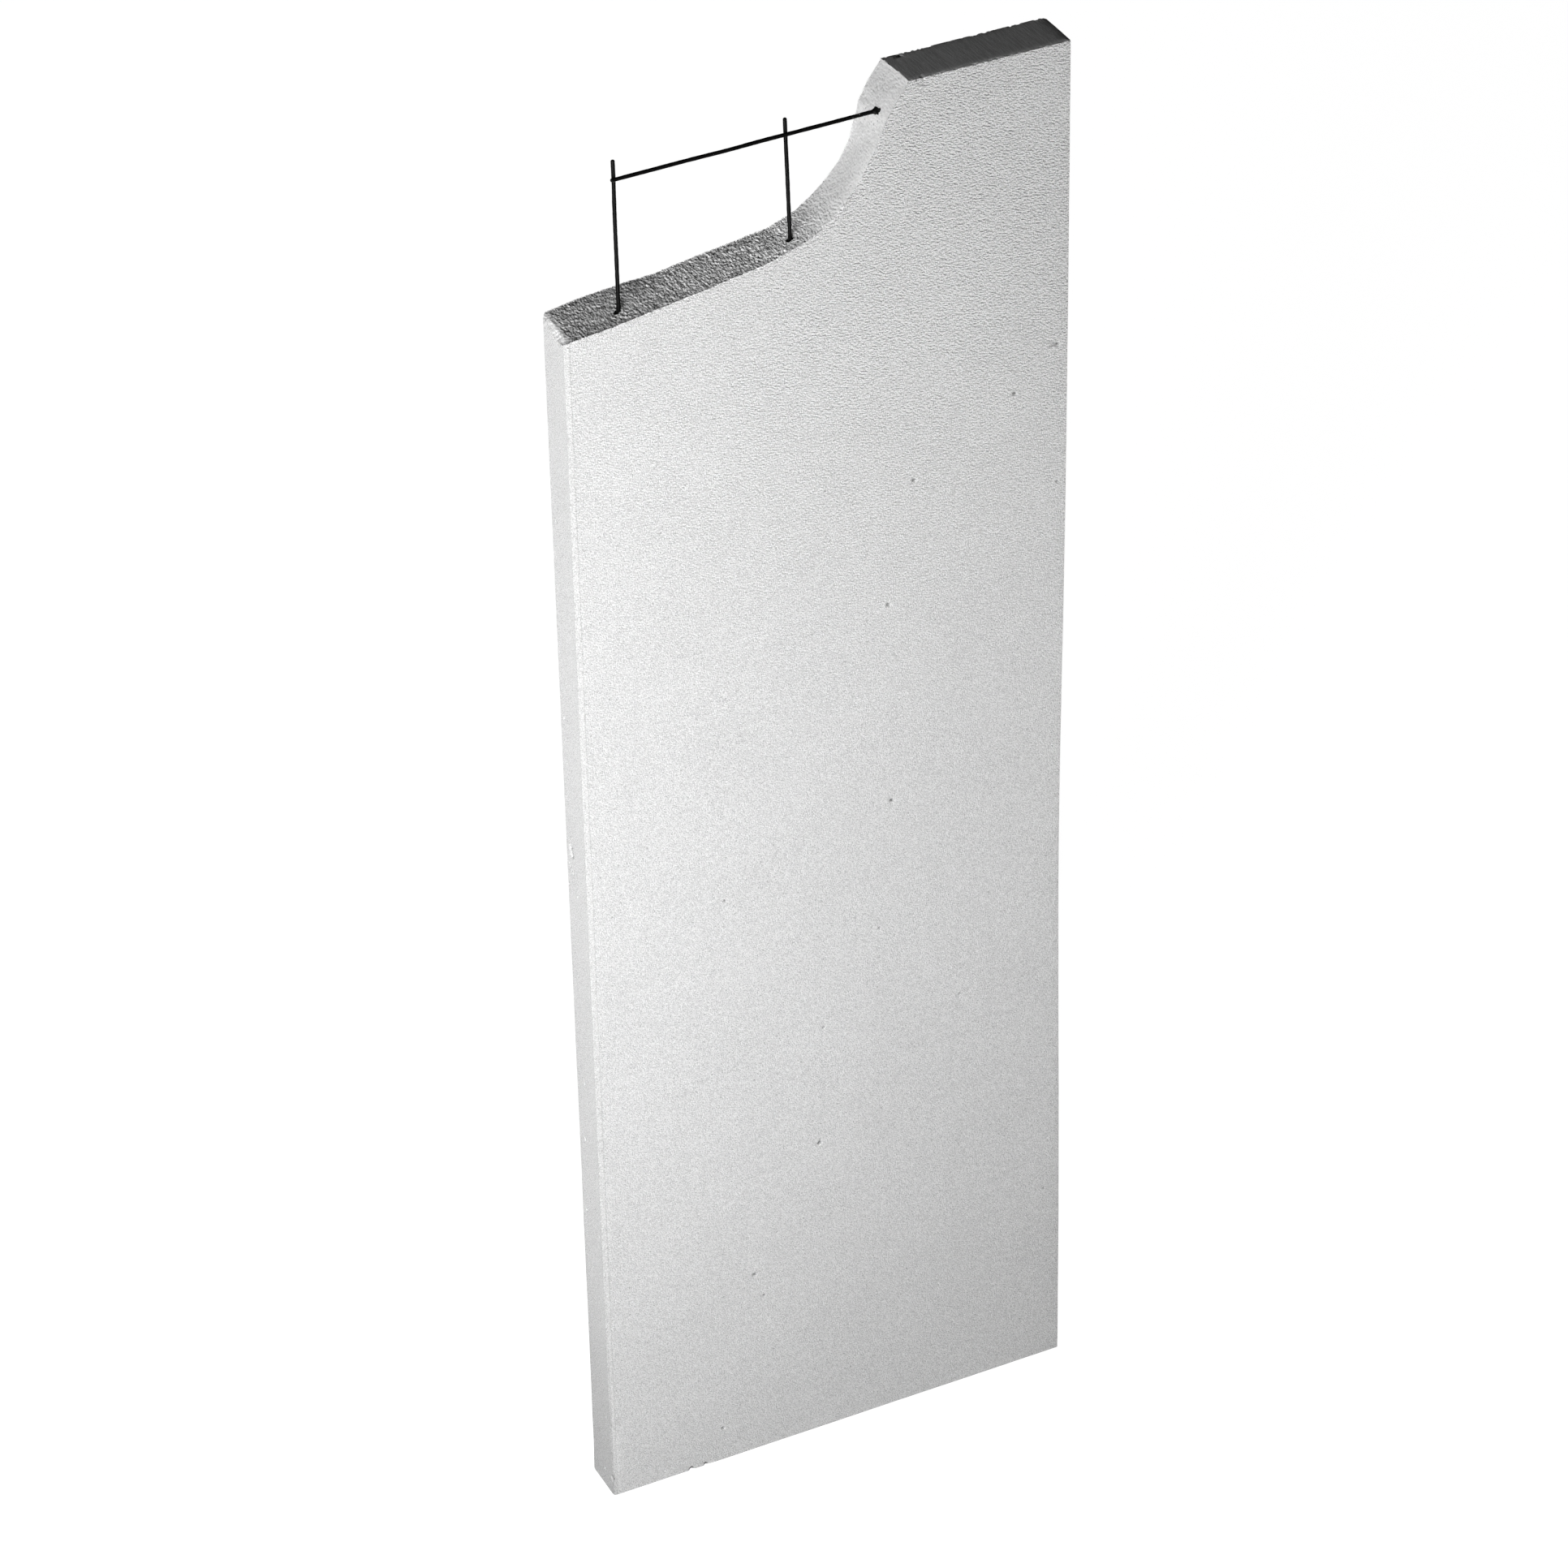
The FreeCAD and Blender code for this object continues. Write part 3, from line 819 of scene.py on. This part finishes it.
def concrete(material, ripples=0.0, grain=0.0, grain_size=1.5 * MM, painted_slope_strength=0.0, pores=0.0, saw=0.0, tone=0.8,
             toned=None, rough_side=None, stretch=(1, 1, 1)):
    """Builds one finish of the stone; ripples, grain, pores and saw are heights in metres, and the slope strength
    sets how much light and shade is painted on the grain's sides.
    """
    material.use_nodes = True
    tree = material.node_tree
    shader = tree.nodes["Principled BSDF"]
    place = add(tree, "ShaderNodeTexCoord").outputs["Object"]
    across, middle, up = add(tree, "ShaderNodeSeparateXYZ", {0: place}).outputs
    fine = lumps(tree, place, grain_size, detail=1.5, roughness=0.7, stretch=stretch)
    lit_from = (0.35 * grain_size, 0.2 * grain_size, 0.3 * grain_size)
    painted_slope_light = relief(tree, place, grain_size, lit_from, detail=1.5, roughness=0.7, stretch=stretch)
    if rough_side:
        knocked_off_end = fade(tree, across, -0.294, -0.290, 0.3, 1.0)
        painted_slope_strength = times(tree, knocked_off_end, fade(tree, across, *rough_side, painted_slope_strength, 0.18 * painted_slope_strength))
        grain = times(tree, knocked_off_end, fade(tree, across, *rough_side, grain, 0.18 * grain))
    height = times(tree, fine, grain)
    # Painted light and shade: the grain's sides that face the left front, where the lamps are, are lighter, and
    # those facing away are darker.
    shade = maths(tree, "ADD", 1.0, times(tree, painted_slope_light, painted_slope_strength))
    # Painted shade: the low spots of the grain are darker.
    shade = times(tree, shade, fade(tree, fine, 0.28, 0.42, 0.82, 1.0))
    if ripples:
        bite = ripple_field(tree, place, across, up)
        shape = {"detail": 1.5, "roughness": 0.55, "distortion": 0.15, "stretch": (2.3, 2.3, 1)}
        turned = {"Vector": place, "Angle": RIPPLE_TILT}
        tilted = add(tree, "ShaderNodeVectorRotate", turned, rotation_type="Y_AXIS").outputs[0]
        waves = lumps(tree, tilted, RIPPLE_LENGTH, **shape)
        height = maths(tree, "ADD", height, times(tree, waves, bite, ripples))
        # Painted light and shade on the ripples: their sides that face up are lighter, and those that face down
        # are darker.
        painted_lip_shade = relief(tree, tilted, RIPPLE_LENGTH, (0, 0, -0.55 * MM), **shape)
        shade = times(tree, shade, maths(tree, "ADD", 1.0, times(tree, painted_lip_shade, bite, 2.3)))
        shade = times(tree, shade, fade(tree, maths(tree, "MULTIPLY", painted_lip_shade, bite), -0.3, -0.08, 0.62, 1.0))
    if pores:
        spread = lumps(tree, place, 2.4 * MM, detail=0.0, offset=3.7)
        pore = fade(tree, spread, 0.16, 0.24, 1.0, 0.0)
        height = maths(tree, "SUBTRACT", height, times(tree, pore, pores))
        # Painted shade: the pores are darker.
        shade = times(tree, shade, fade(tree, pore, 0.0, 1.0, 1.0, 0.68))
    if saw:
        tracks = lumps(tree, place, 1.4 * MM, detail=2.0, stretch=(1, 14, 1))
        height = maths(tree, "ADD", height, times(tree, tracks, saw))
        # Painted light and shade along the saw lines: the high tracks are lighter and the low ones darker.
        shade = times(tree, shade, fade(tree, tracks, 0.3, 0.7, 0.88, 1.12))
        speck = fade(tree, lumps(tree, place, 2.2 * MM, detail=0.0, offset=9.1), 0.76, 0.82)
        height = maths(tree, "ADD", height, times(tree, speck, 0.5 * MM))
    clouds = lumps(tree, place, 120 * MM, detail=3.0, roughness=0.6)
    shade = times(tree, shade, fade(tree, clouds, 0.3, 0.7, 0.985, 1.01))
    # Painted shade: the left chamfer, which faces the lamps, is darker.
    shade = times(tree, shade, fade(tree, left_chamfer(tree, across, middle), 0.0, 1.0, 1.0, 0.81))
    if toned:
        shade = times(tree, shade, toned(tree, across, up))
    # Painted shade: the hollows are darker towards their middle.
    hollow = add(tree, "ShaderNodeAttribute", attribute_name="hollow").outputs["Fac"]
    shade = times(tree, shade, fade(tree, hollow, 0.1, 1.0, 1.0, 0.4))
    # Painted shade: the torn hollows at the wires' feet are nearly black.
    torn = add(tree, "ShaderNodeAttribute", attribute_name="torn").outputs["Fac"]
    shade = times(tree, shade, fade(tree, torn, 0.08, 0.3, 1.0, 0.01))
    lightness = times(tree, shade, tone)
    colour = add(tree, "ShaderNodeCombineColor", {0: lightness, 1: lightness, 2: lightness}).outputs[0]
    tree.links.new(colour, shader.inputs["Base Color"])
    rough = lumps(tree, place, 8 * MM, detail=2.0)
    tree.links.new(fade(tree, rough, 0.3, 0.7, 0.88, 0.98), shader.inputs["Roughness"])
    shader.inputs["Specular IOR Level"].default_value = 0.15
    bump = add(tree, "ShaderNodeBump", {"Height": height, "Distance": 1.0, "Strength": 1.0})
    tree.links.new(bump.outputs[0], shader.inputs["Normal"])
    print(material.name, "has", len(tree.nodes), "nodes")


def ramp_tone_and_painted_light(tree, across, up):
    """Darker towards the carved ramp's outer end and near the top of the steep stretch, and lightest in the bend.
    """
    outer = fade(tree, across, -0.31, -0.1, 0.72, 1.24)
    # Painted light: the knocked-off outer end, which faces upwards, is made lighter.
    knocked_off_end = fade(tree, across, -0.2955, -0.292, 1.45, 1.0)
    return times(tree, outer, knocked_off_end, fade(tree, across, 0.02, 0.09, 1.0, 0.80))


def foot_painted_shade(tree, across, up):
    """Painted shade: the long edges are darker near the floor."""
    return fade(tree, up, 0.0, 0.35, 0.81, 0.98)


concrete(finishes[WIRE_CUT], ripples=1.0 * MM, grain=0.5 * MM, grain_size=1.3 * MM, painted_slope_strength=1.15,
         pores=0.25 * MM)
concrete(finishes[LONG_EDGE], grain=0.4 * MM, grain_size=1.3 * MM, painted_slope_strength=1.2, pores=0.35 * MM,
         toned=foot_painted_shade)
concrete(finishes[SAWN_END], grain=0.12 * MM, painted_slope_strength=0.25, saw=0.12 * MM, tone=0.84)
concrete(finishes[CARVED], grain=2.2 * MM, grain_size=2.2 * MM, painted_slope_strength=2.6, pores=0.35 * MM, toned=ramp_tone_and_painted_light,
         rough_side=(-0.05, 0.05), stretch=(1, 2.2, 1))

# %% [markdown]
# ## Coated wire, as a material
#
# The coating is a dark dip that dries semi-matt and collects stone dust. Its gloss varies with how thick it
# dried, and crumbs of stone stick to it, most of all near the stone. Dust is a light colour and very rough,
# so both sockets follow the same mask.

# %% Wire coating
DARK_COATING, STONE_DUST = (0.0035, 0.0035, 0.0035, 1), (0.55, 0.55, 0.55, 1)
coated_wire.use_nodes = True
tree = coated_wire.node_tree
shader = tree.nodes["Principled BSDF"]
place = add(tree, "ShaderNodeTexCoord").outputs["Object"]
across, middle, up = add(tree, "ShaderNodeSeparateXYZ", {0: place}).outputs
crumbs = lumps(tree, place, 1.5 * MM, detail=1.0)
near_stone = fade(tree, across, -0.02, 0.07)
crumb_limit = fade(tree, near_stone, 0.0, 1.0, 0.86, 0.74)
dust = maths(tree, "GREATER_THAN", crumbs, crumb_limit)
film = fade(tree, lumps(tree, place, 6 * MM, detail=3.0), 0.45, 0.75, 0.0, 0.006)
dark = add(tree, "ShaderNodeMix", {0: film, 6: DARK_COATING, 7: STONE_DUST}, data_type="RGBA").outputs[2]
dusty = add(tree, "ShaderNodeMix", {0: dust, 6: dark, 7: STONE_DUST}, data_type="RGBA").outputs[2]
tree.links.new(dusty, shader.inputs["Base Color"])
sheen_change = lumps(tree, place, 5 * MM, detail=2.0)
coating_roughness = maths(tree, "MAXIMUM", fade(tree, sheen_change, 0.3, 0.7, 0.34, 0.55), dust)
tree.links.new(coating_roughness, shader.inputs["Roughness"])
shader.inputs["Specular IOR Level"].default_value = 0.12
skin_height = times(tree, lumps(tree, place, 3 * MM, detail=1.0), 0.1 * MM)
bump = add(tree, "ShaderNodeBump", {"Height": skin_height, "Distance": 1.0, "Strength": 1.0})
tree.links.new(bump.outputs[0], shader.inputs["Normal"])
finished = ("panel_body", "long_bar_1", "long_bar_2", "cross_bar_1")
hidden = [name for name in frame["nodes"] if name not in finished]
for name in hidden:
    frame["nodes"][name].data.materials.clear()
    frame["nodes"][name].data.materials.append(coated_wire)
print("hidden bars with the coating:", len(hidden))

# %% [markdown]
# ## Which piece stands for which body
#
# The frame keeps the measured solids for collision. Each finished piece rides on the root body, and the measured
# node that it stands for is hidden.

# %% Hand the pieces over
for piece, node, slot in (
    (slab, "panel_body", "aerated_concrete"), (wire_1, "long_bar_1", "coated_wire"),
    (wire_2, "long_bar_2", "coated_wire"), (cross, "cross_bar_1", "coated_wire"),
):
    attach(piece, "root")
    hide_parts(node)
cross.visible_shadow = False  # its shadow would lie like a smudge on the carved face
print("pieces:", slab.name, wire_1.name, wire_2.name, cross.name)

# %% [markdown]
# ## Studio
#
# The panel stands on a plain white floor. A band of light low on the left, and four square lamps around its
# front, light the two faces that are seen and leave the overhead dark. That is why the sawn top is dark, and
# why the carved ramp, which looks up, is darker than the big face. The floor glows a little, as a white paper
# sweep does when it is lit from all sides, and that hides most of the shadow at the foot. A second glow, from
# below at the back right, stands for the light that a bright floor throws on the two sides that face away
# from the lamps.

# %% Floor
FLOOR_GLOW, FLOOR_TONE = 0.98, 0.55
bm = bmesh.new()
bmesh.ops.create_circle(bm, cap_ends=True, segments=96, radius=40)
floor = object_from("floor", bm)
floor.location.z = -0.0005
floor_paper = bpy.data.materials.new("floor_paper")
floor_paper.use_nodes = True
paper = floor_paper.node_tree.nodes["Principled BSDF"]
paper.inputs["Base Color"].default_value = (FLOOR_TONE, FLOOR_TONE, FLOOR_TONE, 1)
paper.inputs["Roughness"].default_value = 1.0
paper.inputs["Specular IOR Level"].default_value = 0.0
paper.inputs["Emission Color"].default_value = (1, 1, 1, 1)
paper.inputs["Emission Strength"].default_value = FLOOR_GLOW
floor.data.materials.append(floor_paper)
floor.visible_diffuse = False  # the floor glows white without washing out the shade at the panel's foot
floor.visible_glossy = False

# %% Room
LEFT_GLOW, FLOOR_BOUNCE, BACKDROP = 3.62, 3.4, 1.0
room = bpy.data.worlds.new("studio")
bpy.context.scene.world = room
room.use_nodes = True
tree = room.node_tree
direction = add(tree, "ShaderNodeTexCoord").outputs["Generated"]
to_right, to_back, upward = add(tree, "ShaderNodeSeparateXYZ", {0: direction}).outputs
low_band = times(tree, fade(tree, upward, -0.06, 0.0), fade(tree, upward, 0.05, 0.2, 1.0, 0.0))
glow = times(tree, low_band, fade(tree, to_right, -0.6, 0.2, 1.0, 0.0), LEFT_GLOW)
behind = times(tree, fade(tree, to_right, -0.15, 0.3), fade(tree, to_back, 0.0, 0.25))
bounce = times(tree, fade(tree, upward, -0.04, -0.3), behind, FLOOR_BOUNCE)
glow = maths(tree, "ADD", glow, bounce)
seen = add(tree, "ShaderNodeLightPath").outputs["Is Camera Ray"]  # the backdrop itself is plain white
brightness = add(tree, "ShaderNodeMix", {0: seen, 2: glow, 3: BACKDROP}, data_type="FLOAT").outputs[0]
tree.links.new(brightness, tree.nodes["Background"].inputs["Strength"])
tree.nodes["Background"].inputs["Color"].default_value = (1, 1, 1, 1)
bpy.context.scene.view_settings.view_transform = "Standard"
bpy.context.scene.cycles.denoising_prefilter = "NONE"  # keeps the stone's fine grain when noise is cleaned away


# %% Lamps
def soft_lamp(name, place, aim, size, power, spread=180):
    """A square lamp that looks at a point; spread is how wide its beam opens, in degrees."""
    lamp = bpy.data.objects.new(name, bpy.data.lights.new(name, "AREA"))
    lamp.data.size, lamp.data.energy, lamp.data.spread = size, power, math.radians(spread)
    lamp.location = place
    lamp.rotation_euler = (Vector(aim) - Vector(place)).to_track_quat("-Z", "Y").to_euler()
    lamp.visible_camera = False
    bpy.context.collection.objects.link(lamp)
    return lamp


lamps = [
    soft_lamp("upper_lamp", (-1.2, -1.2, 1.9), (0, 0, 1.2), 0.8, 17.0),
    soft_lamp("middle_lamp", (-1.3, -1.5, 0.75), (0, 0, 0.75), 0.8, 8.6, spread=120),
    soft_lamp("low_lamp", (-1.4, -1.6, 0.45), (0, 0, 0.6), 0.8, 6.2),
    soft_lamp("front_lamp", (-0.4, -3.0, 1.0), (0, 0, 1.0), 1.4, 4.4),
]
print("lamps, in watts:", {lamp.name: lamp.data.energy for lamp in lamps})
